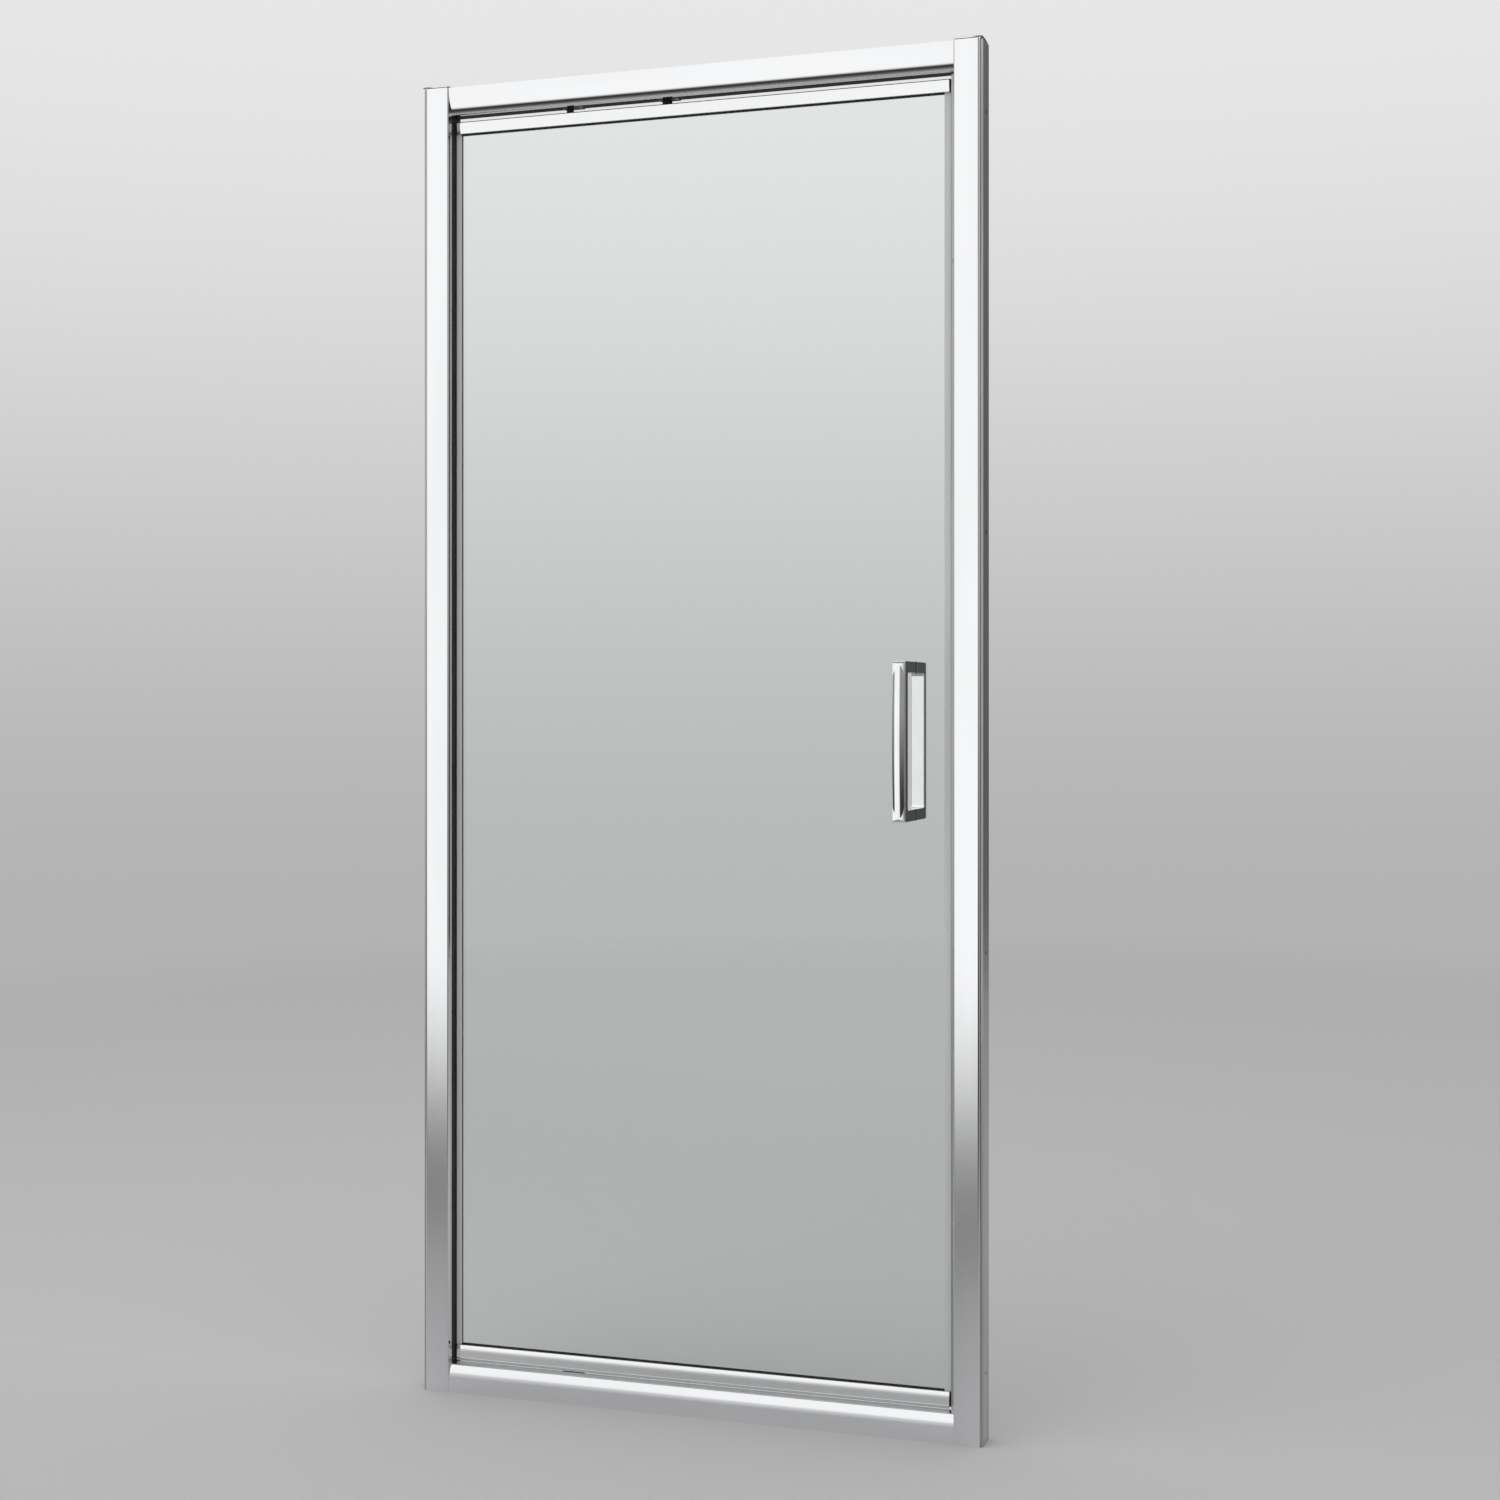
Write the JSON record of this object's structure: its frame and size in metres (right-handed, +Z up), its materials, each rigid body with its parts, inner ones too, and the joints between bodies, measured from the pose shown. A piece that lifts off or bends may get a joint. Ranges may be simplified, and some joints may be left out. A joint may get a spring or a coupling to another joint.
{
  "type": "shower door",
  "caption": "Framed pivot shower door for a niche: a clear glass leaf between chrome rails that turns in a chrome frame, with edge seals and a D-pull handle.",
  "frame": {"origin": "middle of the frame's width at its foot, in the middle plane of the glass", "axes": "+Z up, +X from the pivot side to the handle side, the room and the way out on the -Y side"},
  "size_m": [0.875, 0.136, 2.0035],
  "materials": {
    "chrome_frame": "bright polished chrome on extruded aluminium",
    "wall_channel": "bright anodised aluminium",
    "handle_chrome": "mirror chrome on a die casting",
    "glass": "clear toughened glass, polished edges",
    "clear_seal": "clear flexible PVC, slightly cloudy",
    "black_nylon": "moulded black nylon",
    "black_rubber": "soft black rubber",
    "magnet": "flexible magnet strip in a white sleeve",
    "steel": "stainless steel, turned",
    "bush": "natural acetal, off white",
    "strike": "bright anodised aluminium"
  },
  "bodies": {
    "frame": {"left_jamb": "chrome_frame", "right_jamb": "chrome_frame", "left_jamb_cap": "chrome_frame", "right_jamb_cap": "chrome_frame", "header_rail": "chrome_frame", "sill_rail": "chrome_frame", "left_wall_channel": "wall_channel", "right_wall_channel": "wall_channel", "header_pivot_block": "black_nylon", "header_stop_block": "black_nylon", "sill_pivot_block": "black_nylon", "hinge_jamb_seal": "black_rubber", "header_seal": "black_rubber", "jamb_magnet": "magnet", "corner_screws": "steel", "jamb_screws": "steel", "block_screws": "steel", "strike_screws": "steel", "header_pivot_bush": "bush", "sill_pivot_bush": "bush", "thrust_washer": "bush", "strike_strip": "strike"},
    "door": {"glass_panel": "glass", "top_door_rail": "chrome_frame", "bottom_door_rail": "chrome_frame", "top_glazing_gasket": "black_rubber", "bottom_glazing_gasket": "black_rubber", "top_rail_left_cap": "black_nylon", "top_rail_right_cap": "black_nylon", "bottom_rail_left_cap": "black_nylon", "bottom_rail_right_cap": "black_nylon", "top_pivot_insert": "black_nylon", "bottom_pivot_insert": "black_nylon", "top_pivot_pin": "steel", "bottom_pivot_pin": "steel", "hinge_edge_seal": "clear_seal", "closing_edge_seal": "clear_seal", "door_magnet": "magnet", "drip_seal": "clear_seal", "outer_handle": "handle_chrome", "inner_handle": "handle_chrome", "handle_gaskets": "black_rubber", "handle_sleeves": "black_nylon", "handle_studs": "steel", "handle_set_screws": "steel"}
  },
  "joints": [
    {"name": "door_pivot", "type": "hinge", "parent": "frame", "child": "door", "pos_m": [-0.2063, 0, 0], "axis": [0, 0, -1], "range_deg": [0, 100]}
  ]
}
